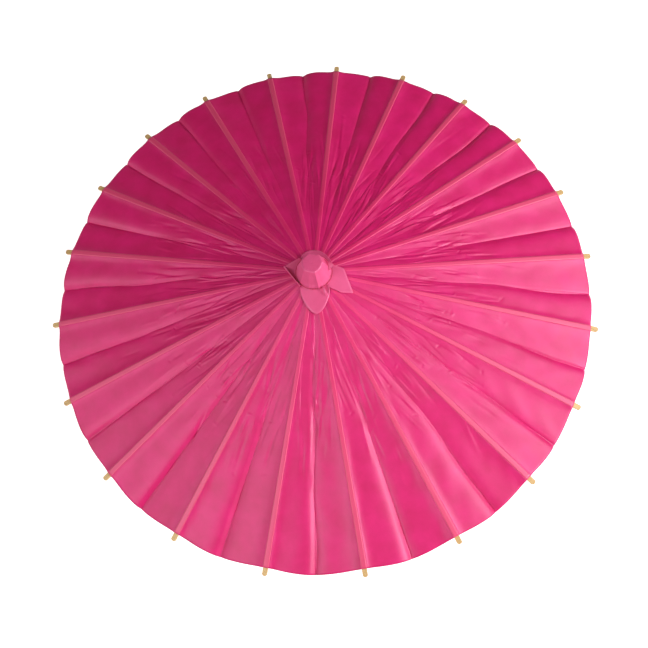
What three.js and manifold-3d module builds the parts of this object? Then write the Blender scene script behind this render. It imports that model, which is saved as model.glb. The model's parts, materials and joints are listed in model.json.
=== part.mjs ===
// Oil paper umbrella: a pleated paper canopy pasted on split bamboo ribs, which a sliding runner
// opens and closes through bamboo stretchers. Millimetres, +Z up along the shaft, origin at the
// middle of the handle's flat end. The umbrella is modelled open, resting on its catch.
import * as THREE from 'three';
import { mergeVertices } from 'three/addons/utils/BufferGeometryUtils.js';
import Module from 'manifold-3d';

// Frame of ribs and stretchers
const RIB_COUNT = 21;
const TIP_RADIUS = 360; // from the shaft's axis to a rib's tip, open
const PAPER_RADIUS = 351; // from the shaft's axis to the paper's edge over a rib, open
const PIVOT_RADIUS = 16; // circle of string that the ribs and the stretchers turn on
const HUB_PIVOT_HEIGHT = 491;
const OPEN_DROOP = THREE.MathUtils.degToRad(18); // rib's slope below level, open
const JOINT_DISTANCE = 155; // from a rib's string to its stretcher joint, and a stretcher's length

// A handmade hub: its slots crowd together on one side and spread on the other
const FIRST_AZIMUTH = THREE.MathUtils.degToRad(2);
const SLOT_DRIFT = THREE.MathUtils.degToRad(7.6);
const SLOT_DRIFT_PHASE = THREE.MathUtils.degToRad(11);
const SLOT_RIPPLE = THREE.MathUtils.degToRad(0.9);

// Clearances
const GAP = 0.3; // between pieces that rest on each other
const SLIDE_GAP = 0.4; // between the runner and the shaft

// Ribs
const TONGUE_WIDTH = 2;
const TONGUE_LENGTH = 12;
const RIB_TOP = 1.9; // rib's flat upper face above its string
const RIB_NECK = { at: 22, width: 3.4 };
const RIB_JOINT_WIDTH = 5.8;
const RIB_OUTER = { at: 230, width: 6.4 };
const RIB_JOINT_DEPTH = 1.6; // rib's lower face below the line of its pivots, at the joint
const RIB_TIP_DEPTH = 0.9;
const TIP_CORNER = 1.6;
const JOINT_SLOT = { width: 3, inward: 7.5, outward: 30 };
const STRING_RADIUS = 0.55;
const STRING_HOLE = 0.9;
const THREAD_HOLE = 0.6;

// Stretchers
const STRETCHER_END = { width: 2.4, length: 34 };
const STRETCHER_MIDDLE = { width: 4.2, from: 42, to: 113 };
const STRETCHER_TONGUE_FROM = 134;
const STRETCHER_HALF_DEPTH = 1.3;
const STRETCHER_EYE = 1.7; // rounded ends about the pivots

// Slotted hub and runner
const SLOT_WIDTH = 2.6;
const SLOT_FLOOR_RADIUS = 12.6;
const SLOT_REACH = 12;
const HUB_RADIUS = 19.7;
const HUB_BOTTOM = 483;
const HUB_SHOULDER = 496;
const HEAD_BASE = { radius: 18.2, height: 499 };
const HEAD_TOP = { radius: 11.4, height: 524 };
const RUNNER_RADIUS = 19.5;
const RUNNER_CROWN = { below: 7, above: 3 }; // about the height of its string
const RUNNER_SLEEVE = { radius: 11, top: 374, bottom: 355 };
const RUNNER_BEAD = { radius: 12.4, round: 0.8, flatTo: 3, runOut: 4.5 }; // heights above its bottom

// Shaft, handle and pins
const SHAFT_RADIUS = 6;
const SHAFT_BOTTOM = 10.3;
const SHAFT_TOP = 520;
const GRIP_HEIGHT = 116;
const GRIP_PROFILE = [
  [8.6, 0],
  [10.6, 2.5],
  [11.8, 9],
  [11.4, 18],
  [9, 34],
  [9.8, 60],
  [10, 86],
  [8.6, 106],
  [9.4, 109],
  [7.8, GRIP_HEIGHT],
]; // radius and height along the turned handle
const PIN_RADIUS = 1.1;
const HUB_PIN = { height: 509, length: 29 };
const STOP_PIN = { length: 18 };
const GRIP_PIN = { height: 92, length: 18.4 };
const CATCH_PIN = { radius: 0.8, length: 10 };

// Catch: a springy tongue in a slot of the shaft, just under the open runner
const CATCH_PIVOT = { x: 3, height: 320 };
const CATCH_TOP = 354.5;
const CATCH_LEDGE = 9.2; // how far its ledge stands from the shaft's axis
const CATCH_LEDGE_DEPTH = 3;
const CATCH_WIDTH = 2;
const CATCH_FOOT = { inner: 0.9, outer: 5.2, below: 2.2, corner: 1 };
const CATCH_SLOT = { width: 2.6, floor: -2.8, bottom: 316, top: 357 };

// Paper
const PAPER_THICKNESS = 0.5;
const PAPER_INNER_RADIUS = 20.3;
const STRIP_HALF_WIDTH = { inner: 2.5, rim: 3.75 }; // paper pasted flat on a rib
const VALLEY_SLOPE = THREE.MathUtils.degToRad(13.5); // each gore's fall from its ribs to its fold
const CAP_THICKNESS = 0.7;
const CAP_BASE = { radius: 22.5, height: 492.3 };
const CAP_SHOULDER = { radius: 21.2, height: 499 };
const CAP_TOP = { radius: 13, height: 525.4, round: 1 };
const PETAL = { base: 20, widestAt: 0.28, thickness: 0.6 };
const PETALS = [
  { azimuth: -87, length: 32, width: 36, tip: 9 },
  { azimuth: -16, length: 28, width: 36, tip: 20 },
  { azimuth: 88, length: 15, width: 34, tip: 14 },
  { azimuth: 170, length: 20, width: 34, tip: 14 },
]; // corners of the square wrap, bent out over the canopy; azimuths in degrees
const TIE = { height: 495.5, radius: 0.5 };

// Fineness of the facets
const ROUND = 32;
const PIN_SIDES = 8;
const HOLE_SIDES = 6;
const END_STEPS = 4; // on a half circle at the end of a rib or stretcher
const STRING_STEPS = 2 * RIB_COUNT;
const STRING_SIDES = 5;

const RIB_LENGTH = (TIP_RADIUS - PIVOT_RADIUS) / Math.cos(OPEN_DROOP);
const RUNNER_PIVOT_HEIGHT = HUB_PIVOT_HEIGHT - 2 * JOINT_DISTANCE * Math.sin(OPEN_DROOP);
const STOP_PIN_HEIGHT = RUNNER_PIVOT_HEIGHT + RUNNER_CROWN.above + GAP + PIN_RADIUS;

const wasm = await Module();
wasm.setup();

const umbrella = new THREE.Group();

const finishes = {
  bamboo: { color: '#d9b98c', roughness: 0.55, metalness: 0 },
  stretcherBamboo: { color: '#cfa873', roughness: 0.6, metalness: 0 },
  hubWood: { color: '#8a5a34', roughness: 0.5, metalness: 0 },
  shaftWood: { color: '#b98552', roughness: 0.45, metalness: 0 },
  gripWood: { color: '#6b3f22', roughness: 0.35, metalness: 0 },
  paper: { color: '#d82a73', roughness: 0.4, metalness: 0 },
  capPaper: { color: '#e65a93', roughness: 0.38, metalness: 0 },
  thread: { color: '#c2185b', roughness: 0.85, metalness: 0 },
  string: { color: '#e8dcc0', roughness: 0.9, metalness: 0 },
  peg: { color: '#c89f68', roughness: 0.5, metalness: 0 },
  steel: { color: '#a8a8a8', roughness: 0.35, metalness: 1 },
};

/** A closed three.js geometry as a solid for cutting and joining. */
function toSolid(geometry) {
  const bare = geometry.clone();
  bare.deleteAttribute('normal');
  bare.deleteAttribute('uv');
  const merged = mergeVertices(bare, 1e-4);
  const corners = merged.index.array;
  const triangles = [];
  for (let i = 0; i < corners.length; i += 3) {
    const [a, b, c] = [corners[i], corners[i + 1], corners[i + 2]];
    if (a !== b && b !== c && c !== a) triangles.push(a, b, c);
  }
  const vertices = new Float32Array(merged.attributes.position.array);
  const mesh = new wasm.Mesh({
    numProp: 3,
    vertProperties: vertices,
    triVerts: new Uint32Array(triangles),
  });
  return new wasm.Manifold(mesh);
}

/** A cut or joined solid as a geometry with flat faces. */
function toGeometry(solid) {
  const mesh = solid.getMesh();
  const geometry = new THREE.BufferGeometry();
  geometry.setAttribute('position', new THREE.BufferAttribute(mesh.vertProperties, 3));
  geometry.setIndex(new THREE.BufferAttribute(mesh.triVerts, 1));
  const flat = geometry.toNonIndexed();
  flat.computeVertexNormals();
  return flat;
}

/** Adds one named piece to a group, with a material of its own. */
function addPiece(name, solid, finish, group = umbrella) {
  const piece = new THREE.Mesh(toGeometry(solid), new THREE.MeshStandardMaterial(finish));
  piece.name = name;
  group.add(piece);
  return piece;
}

/** A shape drawn as length and height, made `width` thick across the Y axis. */
function sidePlate(shape, width) {
  const plate = new THREE.ExtrudeGeometry(shape, {
    depth: width,
    bevelEnabled: false,
    curveSegments: END_STEPS,
  });
  plate.translate(0, 0, -width / 2);
  plate.rotateX(Math.PI / 2);
  return toSolid(plate);
}

/** A shape drawn in plan, made thick from one height to another. */
function planPlate(shape, bottom, top) {
  const plate = new THREE.ExtrudeGeometry(shape, { depth: top - bottom, bevelEnabled: false });
  plate.translate(0, 0, bottom);
  return toSolid(plate);
}

/** A turned solid: its profile is a list of [radius, height]. */
function turned(profile, steps = ROUND) {
  const points = profile.map(([radius, height]) => new THREE.Vector2(radius, height));
  const lathe = new THREE.LatheGeometry(points, steps);
  lathe.rotateX(Math.PI / 2);
  return toSolid(lathe);
}

/** A ring of round section about the Z axis. */
function ring(radius, thickness, height, steps, sides) {
  const profile = [];
  for (let i = 0; i <= sides; i += 1) {
    const angle = (i % sides) / sides * 2 * Math.PI;
    profile.push([radius + thickness * Math.cos(angle), height + thickness * Math.sin(angle)]);
  }
  return turned(profile, steps);
}

/** A round rod across the Y axis. */
function crossRod(radius, length, x, height, sides = PIN_SIDES) {
  const rod = new THREE.CylinderGeometry(radius, radius, length, sides);
  rod.translate(x, 0, height);
  return toSolid(rod);
}

function box(width, depth, height, x, y, z) {
  const block = new THREE.BoxGeometry(width, depth, height);
  block.translate(x, y, z);
  return toSolid(block);
}

/** Direction of rib number `index` about the shaft. */
function azimuth(index) {
  const even = FIRST_AZIMUTH + (index * 2 * Math.PI) / RIB_COUNT;
  const drift = SLOT_DRIFT * Math.cos(even + SLOT_DRIFT_PHASE);
  return even + drift - SLOT_RIPPLE * Math.sin(2 * even);
}

function numbered(stem, index) {
  return `${stem}_${String(index + 1).padStart(2, '0')}`;
}

/** One rib, lying along +X from its string, with its upper face level at RIB_TOP. */
function ribSolid() {
  const side = new THREE.Shape();
  side.moveTo(0, RIB_TOP);
  side.absarc(0, 0, RIB_TOP, Math.PI / 2, (3 * Math.PI) / 2, false);
  side.lineTo(JOINT_DISTANCE, -RIB_JOINT_DEPTH);
  side.lineTo(RIB_LENGTH, -RIB_TIP_DEPTH);
  side.lineTo(RIB_LENGTH, RIB_TOP);
  side.closePath();

  const stations = [
    [-RIB_TOP - 1, TONGUE_WIDTH],
    [TONGUE_LENGTH, TONGUE_WIDTH],
    [RIB_NECK.at, RIB_NECK.width],
    [JOINT_DISTANCE, RIB_JOINT_WIDTH],
    [RIB_OUTER.at, RIB_OUTER.width],
    [RIB_LENGTH - TIP_CORNER, RIB_OUTER.width],
    [RIB_LENGTH, RIB_OUTER.width - 2 * TIP_CORNER],
  ];
  const plan = mirroredPlan(stations);

  const blank = sidePlate(side, RIB_OUTER.width + 1)
    .intersect(planPlate(plan, -2 * RIB_TOP, 2 * RIB_TOP));
  const slotLength = JOINT_SLOT.inward + JOINT_SLOT.outward;
  const slotMiddle = JOINT_DISTANCE + (JOINT_SLOT.outward - JOINT_SLOT.inward) / 2;
  return blank
    .subtract(box(slotLength, JOINT_SLOT.width, 4 * RIB_TOP, slotMiddle, 0, 0))
    .subtract(crossRod(STRING_HOLE, RIB_OUTER.width, 0, 0, HOLE_SIDES))
    .subtract(crossRod(THREAD_HOLE, 2 * RIB_OUTER.width, JOINT_DISTANCE, 0, HOLE_SIDES));
}

/** A plan outline that is the same on both sides, from its widths along X. */
function mirroredPlan(stations) {
  const plan = new THREE.Shape();
  const right = stations.map(([x, width]) => [x, -width / 2]);
  const left = stations.map(([x, width]) => [x, width / 2]).reverse();
  [...right, ...left].forEach(([x, y], i) => {
    if (i === 0) plan.moveTo(x, y);
    else plan.lineTo(x, y);
  });
  plan.closePath();
  return plan;
}

/** One stretcher, lying along +X from its rib's joint to the runner's string. */
function stretcherSolid() {
  const side = new THREE.Shape();
  const shoulder = Math.asin(STRETCHER_HALF_DEPTH / STRETCHER_EYE);
  side.absarc(0, 0, STRETCHER_EYE, shoulder, 2 * Math.PI - shoulder, false);
  side.absarc(JOINT_DISTANCE, 0, STRETCHER_EYE, Math.PI + shoulder, 3 * Math.PI - shoulder, false);
  side.closePath();

  const plan = mirroredPlan([
    [-2 * STRETCHER_EYE, STRETCHER_END.width],
    [STRETCHER_END.length, STRETCHER_END.width],
    [STRETCHER_MIDDLE.from, STRETCHER_MIDDLE.width],
    [STRETCHER_MIDDLE.to, STRETCHER_MIDDLE.width],
    [STRETCHER_TONGUE_FROM, TONGUE_WIDTH],
    [JOINT_DISTANCE + 2 * STRETCHER_EYE, TONGUE_WIDTH],
  ]);
  return sidePlate(side, STRETCHER_MIDDLE.width + 1)
    .intersect(planPlate(plan, -2 * STRETCHER_EYE, 2 * STRETCHER_EYE))
    .subtract(crossRod(THREAD_HOLE, STRETCHER_MIDDLE.width, 0, 0, HOLE_SIDES))
    .subtract(crossRod(STRING_HOLE, STRETCHER_MIDDLE.width, JOINT_DISTANCE, 0, HOLE_SIDES));
}

/** Ribs and stretchers, each rib with its stretcher in a group that slopes down from the hub. */
function addFrame() {
  const rib = ribSolid();
  const stretcher = stretcherSolid();
  for (let i = 0; i < RIB_COUNT; i += 1) {
    const sector = new THREE.Group();
    sector.rotation.z = azimuth(i);
    const slope = new THREE.Group();
    slope.position.set(PIVOT_RADIUS, 0, HUB_PIVOT_HEIGHT);
    slope.rotation.y = OPEN_DROOP;
    addPiece(numbered('rib', i), rib, finishes.bamboo, slope);
    const strut = addPiece(numbered('stretcher', i), stretcher, finishes.stretcherBamboo, slope);
    strut.position.x = JOINT_DISTANCE;
    strut.rotation.y = Math.PI - 2 * OPEN_DROOP;
    sector.add(slope);
    umbrella.add(sector);
  }
}

/** Cuts a slot for each rib or stretcher between two heights, from outside to the slots' floor. */
function cutSlots(solid, bottom, top) {
  let cut = solid;
  for (let i = 0; i < RIB_COUNT; i += 1) {
    const slot = new THREE.BoxGeometry(SLOT_REACH, SLOT_WIDTH, top - bottom);
    slot.translate(SLOT_FLOOR_RADIUS + SLOT_REACH / 2, 0, (top + bottom) / 2);
    slot.rotateZ(azimuth(i));
    cut = cut.subtract(toSolid(slot));
  }
  return cut;
}

/** A ring of string and the tunnel that it lies in. */
function stringRing(height) {
  return ring(PIVOT_RADIUS, STRING_RADIUS, height, STRING_STEPS, STRING_SIDES);
}

function stringTunnel(height) {
  return ring(PIVOT_RADIUS, STRING_HOLE, height, STRING_STEPS, STRING_SIDES);
}

/** The turned and slotted head that the ribs are strung on. */
function addHub() {
  const bore = SHAFT_RADIUS + GAP;
  let hub = turned([
    [bore, HUB_BOTTOM],
    [HUB_RADIUS, HUB_BOTTOM],
    [HUB_RADIUS, HUB_SHOULDER],
    [HEAD_BASE.radius, HEAD_BASE.height],
    [HEAD_TOP.radius, HEAD_TOP.height - 1],
    [HEAD_TOP.radius - 1, HEAD_TOP.height],
    [0, HEAD_TOP.height],
    [0, SHAFT_TOP + GAP],
    [bore, SHAFT_TOP + GAP],
    [bore, HUB_BOTTOM],
  ]);
  hub = cutSlots(hub, HUB_BOTTOM - 2, HUB_PIVOT_HEIGHT + RIB_TOP + SLIDE_GAP);
  hub = hub.subtract(stringTunnel(HUB_PIVOT_HEIGHT));
  hub = hub.subtract(crossRod(PIN_RADIUS + GAP, 3 * HUB_RADIUS, 0, HUB_PIN.height));
  addPiece('rib_hub', hub, finishes.hubWood);
  addPiece('hub_string', stringRing(HUB_PIVOT_HEIGHT), finishes.string);
  addPiece('hub_pin', crossRod(PIN_RADIUS, HUB_PIN.length, 0, HUB_PIN.height), finishes.peg);
}

/** The runner: a slotted crown for the stretchers on a sleeve that slides on the shaft. */
function addRunner() {
  const bore = SHAFT_RADIUS + SLIDE_GAP;
  const crownBottom = RUNNER_PIVOT_HEIGHT - RUNNER_CROWN.below;
  const crownTop = RUNNER_PIVOT_HEIGHT + RUNNER_CROWN.above;
  let runner = turned([
    [bore, RUNNER_SLEEVE.bottom],
    [RUNNER_BEAD.radius - RUNNER_BEAD.round, RUNNER_SLEEVE.bottom],
    [RUNNER_BEAD.radius, RUNNER_SLEEVE.bottom + RUNNER_BEAD.round],
    [RUNNER_BEAD.radius, RUNNER_SLEEVE.bottom + RUNNER_BEAD.flatTo],
    [RUNNER_SLEEVE.radius, RUNNER_SLEEVE.bottom + RUNNER_BEAD.runOut],
    [RUNNER_SLEEVE.radius, RUNNER_SLEEVE.top],
    [RUNNER_RADIUS, crownBottom],
    [RUNNER_RADIUS, crownTop],
    [bore, crownTop],
    [bore, RUNNER_SLEEVE.bottom],
  ]);
  runner = cutSlots(runner, RUNNER_PIVOT_HEIGHT - STRETCHER_EYE - SLIDE_GAP, crownTop + 2);
  runner = runner.subtract(stringTunnel(RUNNER_PIVOT_HEIGHT));
  addPiece('runner', runner, finishes.hubWood);
  addPiece('runner_string', stringRing(RUNNER_PIVOT_HEIGHT), finishes.string);
}

/** The dowel, slotted for the catch and drilled for its four pins. */
function addShaft() {
  const length = SHAFT_TOP - SHAFT_BOTTOM;
  const dowel = new THREE.CylinderGeometry(SHAFT_RADIUS, SHAFT_RADIUS, length, ROUND);
  dowel.rotateX(Math.PI / 2);
  dowel.translate(0, 0, SHAFT_BOTTOM + length / 2);
  const slotDepth = 2 * SHAFT_RADIUS;
  const slotHeight = CATCH_SLOT.top - CATCH_SLOT.bottom;
  const slot = box(
    slotDepth,
    CATCH_SLOT.width,
    slotHeight,
    CATCH_SLOT.floor + slotDepth / 2,
    0,
    CATCH_SLOT.bottom + slotHeight / 2,
  );
  let shaft = toSolid(dowel).subtract(slot);
  for (const height of [HUB_PIN.height, STOP_PIN_HEIGHT, GRIP_PIN.height]) {
    shaft = shaft.subtract(crossRod(PIN_RADIUS + GAP, 3 * SHAFT_RADIUS, 0, height));
  }
  const pinHole = crossRod(CATCH_PIN.radius + GAP, 3 * SHAFT_RADIUS, CATCH_PIVOT.x, CATCH_PIVOT.height);
  addPiece('shaft', shaft.subtract(pinHole), finishes.shaftWood);
  addPiece('stop_pin', crossRod(PIN_RADIUS, STOP_PIN.length, 0, STOP_PIN_HEIGHT), finishes.steel);
}

/** The springy tongue that holds the runner up, and the pin at its lower end. */
function addCatch() {
  const foot = CATCH_PIVOT.height - CATCH_FOOT.below;
  const outline = new THREE.Shape();
  outline.moveTo(CATCH_FOOT.inner, foot);
  outline.lineTo(CATCH_FOOT.outer - CATCH_FOOT.corner, foot);
  outline.lineTo(CATCH_FOOT.outer, foot + 2 * CATCH_FOOT.corner);
  outline.lineTo(CATCH_LEDGE, CATCH_TOP - CATCH_LEDGE_DEPTH);
  outline.lineTo(CATCH_LEDGE, CATCH_TOP);
  outline.lineTo(CATCH_FOOT.inner, CATCH_TOP);
  outline.closePath();
  const eye = crossRod(CATCH_PIN.radius + GAP, SHAFT_RADIUS, CATCH_PIVOT.x, CATCH_PIVOT.height);
  const tongue = sidePlate(outline, CATCH_WIDTH).subtract(eye);
  addPiece('catch_tongue', tongue, finishes.bamboo);
  const pin = crossRod(CATCH_PIN.radius, CATCH_PIN.length, CATCH_PIVOT.x, CATCH_PIVOT.height);
  addPiece('catch_pin', pin, finishes.steel);
}

/** The turned handle, with the shaft glued and pegged in its blind hole. */
function addGrip() {
  const bore = SHAFT_RADIUS + GAP;
  const floor = SHAFT_BOTTOM - GAP;
  const grip = turned([
    [0, 0],
    ...GRIP_PROFILE,
    [bore, GRIP_HEIGHT],
    [bore, floor],
    [0, floor],
  ]);
  const pinHole = crossRod(PIN_RADIUS + GAP, 4 * SHAFT_RADIUS, 0, GRIP_PIN.height);
  addPiece('grip', grip.subtract(pinHole), finishes.gripWood);
  addPiece('grip_pin', crossRod(PIN_RADIUS, GRIP_PIN.length, 0, GRIP_PIN.height), finishes.peg);
}

/** Height of the paper's lower or upper face over a rib, from its distance to the shaft's axis. */
function paperHeight(radius, lift) {
  return HUB_PIVOT_HEIGHT + lift / Math.cos(OPEN_DROOP) - (radius - PIVOT_RADIUS) * Math.tan(OPEN_DROOP);
}

/** The point of a gore's fold that faces a point at the edge of its rib's pasted strip. */
function foldPoint(radius, halfGap, edge, lift) {
  // The gore falls away from the strip's edge at VALLEY_SLOPE until it meets the plane halfway
  // to the next rib. Its other coordinate, along the rib, doesn't change on the way.
  const inwardFall = Math.tan(halfGap) * Math.sin(OPEN_DROOP) * Math.tan(VALLEY_SLOPE);
  const reach = (radius * Math.tan(halfGap) - edge) / (1 + inwardFall);
  const fall = reach * Math.tan(VALLEY_SLOPE);
  const along = radius - fall * Math.sin(OPEN_DROOP);
  return {
    radius: along / Math.cos(halfGap),
    height: paperHeight(radius, lift) - fall * Math.cos(OPEN_DROOP),
  };
}

/** The pleated canopy: three lines for each rib, its strip's two edges and the fold beyond it. */
function addCanopy() {
  const lower = RIB_TOP + GAP;
  const upper = lower + PAPER_THICKNESS;
  const section = [
    [PAPER_INNER_RADIUS, lower],
    [PAPER_RADIUS, lower],
    [PAPER_RADIUS, upper],
    [PAPER_INNER_RADIUS, upper],
    [PAPER_INNER_RADIUS, lower],
  ];
  const lines = 3 * RIB_COUNT;
  const outline = section.map(([radius, height]) => new THREE.Vector2(radius, height));
  const paper = new THREE.LatheGeometry(outline, lines);
  const position = paper.attributes.position;
  for (let line = 0; line <= lines; line += 1) {
    const rib = Math.floor(line / 3) % RIB_COUNT;
    const kind = line % 3;
    const here = azimuth(rib);
    const halfGap = (azimuth(rib + 1) - here) / 2;
    section.forEach(([radius, lift], corner) => {
      const share = (radius - PAPER_INNER_RADIUS) / (PAPER_RADIUS - PAPER_INNER_RADIUS);
      const edge = THREE.MathUtils.lerp(STRIP_HALF_WIDTH.inner, STRIP_HALF_WIDTH.rim, share);
      const spot = new THREE.Vector3(radius, kind === 0 ? -edge : edge, paperHeight(radius, lift));
      let turn = here;
      if (kind === 2) {
        const fold = foldPoint(radius, halfGap, edge, lift);
        spot.set(fold.radius, 0, fold.height);
        turn = here + halfGap;
      }
      spot.applyAxisAngle(new THREE.Vector3(0, 0, 1), turn);
      position.setXYZ(line * section.length + corner, spot.x, spot.y, spot.z);
    });
  }
  addPiece('canopy_paper', toSolid(paper), finishes.paper);
}

/** The square of paper wrapped over the head: a tapered cap whose four corners flare out. */
function addCap() {
  const inside = CAP_TOP.height - CAP_THICKNESS;
  let cap = turned([
    [CAP_BASE.radius - CAP_THICKNESS, CAP_BASE.height],
    [CAP_BASE.radius, CAP_BASE.height],
    [CAP_SHOULDER.radius, CAP_SHOULDER.height],
    [CAP_TOP.radius, CAP_TOP.height - CAP_TOP.round],
    [CAP_TOP.radius - CAP_TOP.round, CAP_TOP.height],
    [0, CAP_TOP.height],
    [0, inside],
    [CAP_TOP.radius - CAP_TOP.round - CAP_THICKNESS / 2, inside],
    [CAP_TOP.radius - CAP_THICKNESS, inside - CAP_TOP.round],
    [CAP_SHOULDER.radius - CAP_THICKNESS, CAP_SHOULDER.height],
    [CAP_BASE.radius - CAP_THICKNESS, CAP_BASE.height],
  ]);
  const petalLow = RIB_TOP + 2 * GAP + PAPER_THICKNESS + GAP;
  const petalStart = Math.sqrt(CAP_BASE.radius ** 2 - (PETAL.base / 2) ** 2);
  for (const petal of PETALS) {
    const outline = mirroredPlan([
      [0, PETAL.base],
      [PETAL.widestAt * petal.length, petal.width],
      [petal.length, petal.tip],
    ]);
    const leaf = new THREE.ExtrudeGeometry(outline, { depth: PETAL.thickness, bevelEnabled: false });
    leaf.translate(0, 0, petalLow);
    leaf.rotateY(OPEN_DROOP);
    leaf.translate(petalStart - petalLow * Math.sin(OPEN_DROOP), 0, paperHeight(petalStart, 0));
    leaf.rotateZ(THREE.MathUtils.degToRad(petal.azimuth));
    cap = cap.add(toSolid(leaf));
  }
  addPiece('cap_paper', cap, finishes.capPaper);
  const slant = (TIE.height - CAP_BASE.height) / (CAP_SHOULDER.height - CAP_BASE.height);
  const tieRadius = THREE.MathUtils.lerp(CAP_BASE.radius, CAP_SHOULDER.radius, slant) + GAP + TIE.radius;
  addPiece('cap_tie', ring(tieRadius, TIE.radius, TIE.height, ROUND, STRING_SIDES), finishes.thread);
}

addFrame();
addHub();
addRunner();
addShaft();
addCatch();
addGrip();
addCanopy();
addCap();

export default umbrella;
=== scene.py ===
# Oil paper umbrella: the looks of a hot-pink oiled-paper parasol on split bamboo ribs, dressed
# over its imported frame. Metres, +Z up the shaft, origin at the middle of the handle's flat end.
import json
from math import atan2, cos, hypot, pi, radians, sin, tan

import bmesh
import bpy
import numpy as np
from mathutils import Matrix, Vector


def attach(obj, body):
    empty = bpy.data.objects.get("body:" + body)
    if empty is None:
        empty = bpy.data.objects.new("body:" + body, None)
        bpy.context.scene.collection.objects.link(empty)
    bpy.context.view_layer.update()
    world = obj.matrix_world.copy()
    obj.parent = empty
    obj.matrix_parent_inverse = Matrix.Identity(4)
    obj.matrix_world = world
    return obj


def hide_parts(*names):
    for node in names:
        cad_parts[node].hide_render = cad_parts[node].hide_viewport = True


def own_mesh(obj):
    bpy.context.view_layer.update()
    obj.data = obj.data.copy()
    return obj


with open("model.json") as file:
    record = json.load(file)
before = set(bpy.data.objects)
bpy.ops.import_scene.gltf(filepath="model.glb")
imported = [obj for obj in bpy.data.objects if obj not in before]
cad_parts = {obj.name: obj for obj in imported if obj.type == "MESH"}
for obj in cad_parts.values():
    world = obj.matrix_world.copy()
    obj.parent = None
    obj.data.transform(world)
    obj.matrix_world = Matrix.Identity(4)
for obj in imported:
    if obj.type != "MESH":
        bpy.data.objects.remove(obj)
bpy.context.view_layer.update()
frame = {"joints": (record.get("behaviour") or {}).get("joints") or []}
MM = 0.001


# --- Shaft ----------------------------------------------------------------------------------
# A straight dowel of pale hardwood, sanded and given one coat of clear lacquer. Its grain runs
# the whole length, and the catch's slot and the pin holes are cut across it.
def linear(colour):
    """An sRGB hex colour as linear RGBA."""
    parts = [int(colour[i:i + 2], 16) / 255 for i in (1, 3, 5)]
    return (*[p / 12.92 if p <= 0.04045 else ((p + 0.055) / 1.055) ** 2.4 for p in parts], 1)


def node(material, kind, inputs=None, **settings):
    """Adds a shader node with its settings; an input is a value or another node's socket."""
    made = material.node_tree.nodes.new(kind)
    for key, value in settings.items():
        setattr(made, key, value)
    for key, value in (inputs or {}).items():
        if isinstance(value, bpy.types.NodeSocket):
            material.node_tree.links.new(value, made.inputs[key])
        else:
            made.inputs[key].default_value = value
    return made


def new_material(name):
    made = bpy.data.materials.new(name)
    made.use_nodes = True
    made.node_tree.nodes.clear()
    return made


def ramp_of(material, value, *stops):
    """A colour ramp over a value; each stop is a place and an sRGB colour."""
    made = node(material, "ShaderNodeValToRGB", {"Fac": value})
    ramp = made.color_ramp
    while len(ramp.elements) < len(stops):
        ramp.elements.new(0.5)
    for element, (place, colour) in zip(ramp.elements, stops):
        element.position = place
        element.color = linear(colour)
    return made.outputs["Color"]


def turned_wood(name, dark, pale, rough, coat, grain):
    """Wood with its grain up the shaft; `grain` is the spacing of its lines in millimetres."""
    made = new_material(name)
    place = node(made, "ShaderNodeTexCoord").outputs["Object"]
    long_way = node(made, "ShaderNodeMapping", {"Vector": place, "Scale": (1, 1, 0.045)})
    figure = node(made, "ShaderNodeTexNoise", {
        "Vector": long_way.outputs["Vector"], "Scale": 1000 / (2.5 * grain),
        "Detail": 5, "Distortion": 0.6})
    pores = node(made, "ShaderNodeTexNoise", {
        "Vector": long_way.outputs["Vector"], "Scale": 1000 / (0.35 * grain), "Detail": 3})
    mixed = node(made, "ShaderNodeMath", {
        0: pores.outputs["Fac"], 1: 0.3, 2: figure.outputs["Fac"]}, operation="MULTIPLY_ADD")
    colour = ramp_of(made, mixed.outputs["Value"], (0.45, dark), (0.85, pale))
    bump = node(made, "ShaderNodeBump", {
        "Height": pores.outputs["Fac"], "Strength": 0.25, "Distance": 0.12 * MM})
    gloss = node(made, "ShaderNodeMapRange", {
        "Value": pores.outputs["Fac"], "From Min": 0.3, "From Max": 0.7,
        "To Min": rough + 0.08, "To Max": rough})
    skin = node(made, "ShaderNodeBsdfPrincipled", {
        "Base Color": colour, "Roughness": gloss.outputs["Result"], "Normal": bump.outputs["Normal"],
        "Coat Weight": coat, "Coat Roughness": 0.16})
    node(made, "ShaderNodeOutputMaterial", {"Surface": skin.outputs["BSDF"]})
    return made


def finish(piece, material):
    """Gives a CAD node its material."""
    for slot in bpy.data.objects[piece].material_slots:
        slot.material = material


# Lacquered birch: pale and even, with fine long pores and a thin clear gloss.
finish("shaft", turned_wood("lacquered_birch_dowel", "#a8713f", "#d2a069", 0.42, 0.35, 1.6))


# --- Grip -----------------------------------------------------------------------------------
# A turned handle of stained hardwood, waxed on the lathe. It is glued on the shaft's end and
# pegged across with a bamboo peg that is cut off flush.
# Walnut stain over beech: dark brown, a little darker in the pores, with a soft waxed shine.
finish("grip", turned_wood("stained_beech_grip", "#3a2012", "#6d4226", 0.36, 0.5, 2.2))
# Bamboo peg: end grain and skin of a dry yellow cane, matt.
peg_cane = turned_wood("bamboo_peg_cane", "#a67c45", "#d8b57c", 0.6, 0.0, 0.8)
finish("grip_pin", peg_cane)
finish("hub_pin", peg_cane)


# --- Rib hub --------------------------------------------------------------------------------
# The umbrella's head: one turned block of camellia wood with a sawn slot for every rib. The
# string that carries the ribs lies in a groove that runs through all the slots.
# Oiled camellia wood: reddish brown and close-grained, dry to the touch where it is sawn.
head_wood = turned_wood("oiled_camellia_wood", "#6e4023", "#a06a3e", 0.52, 0.1, 1.2)
finish("rib_hub", head_wood)


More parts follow.
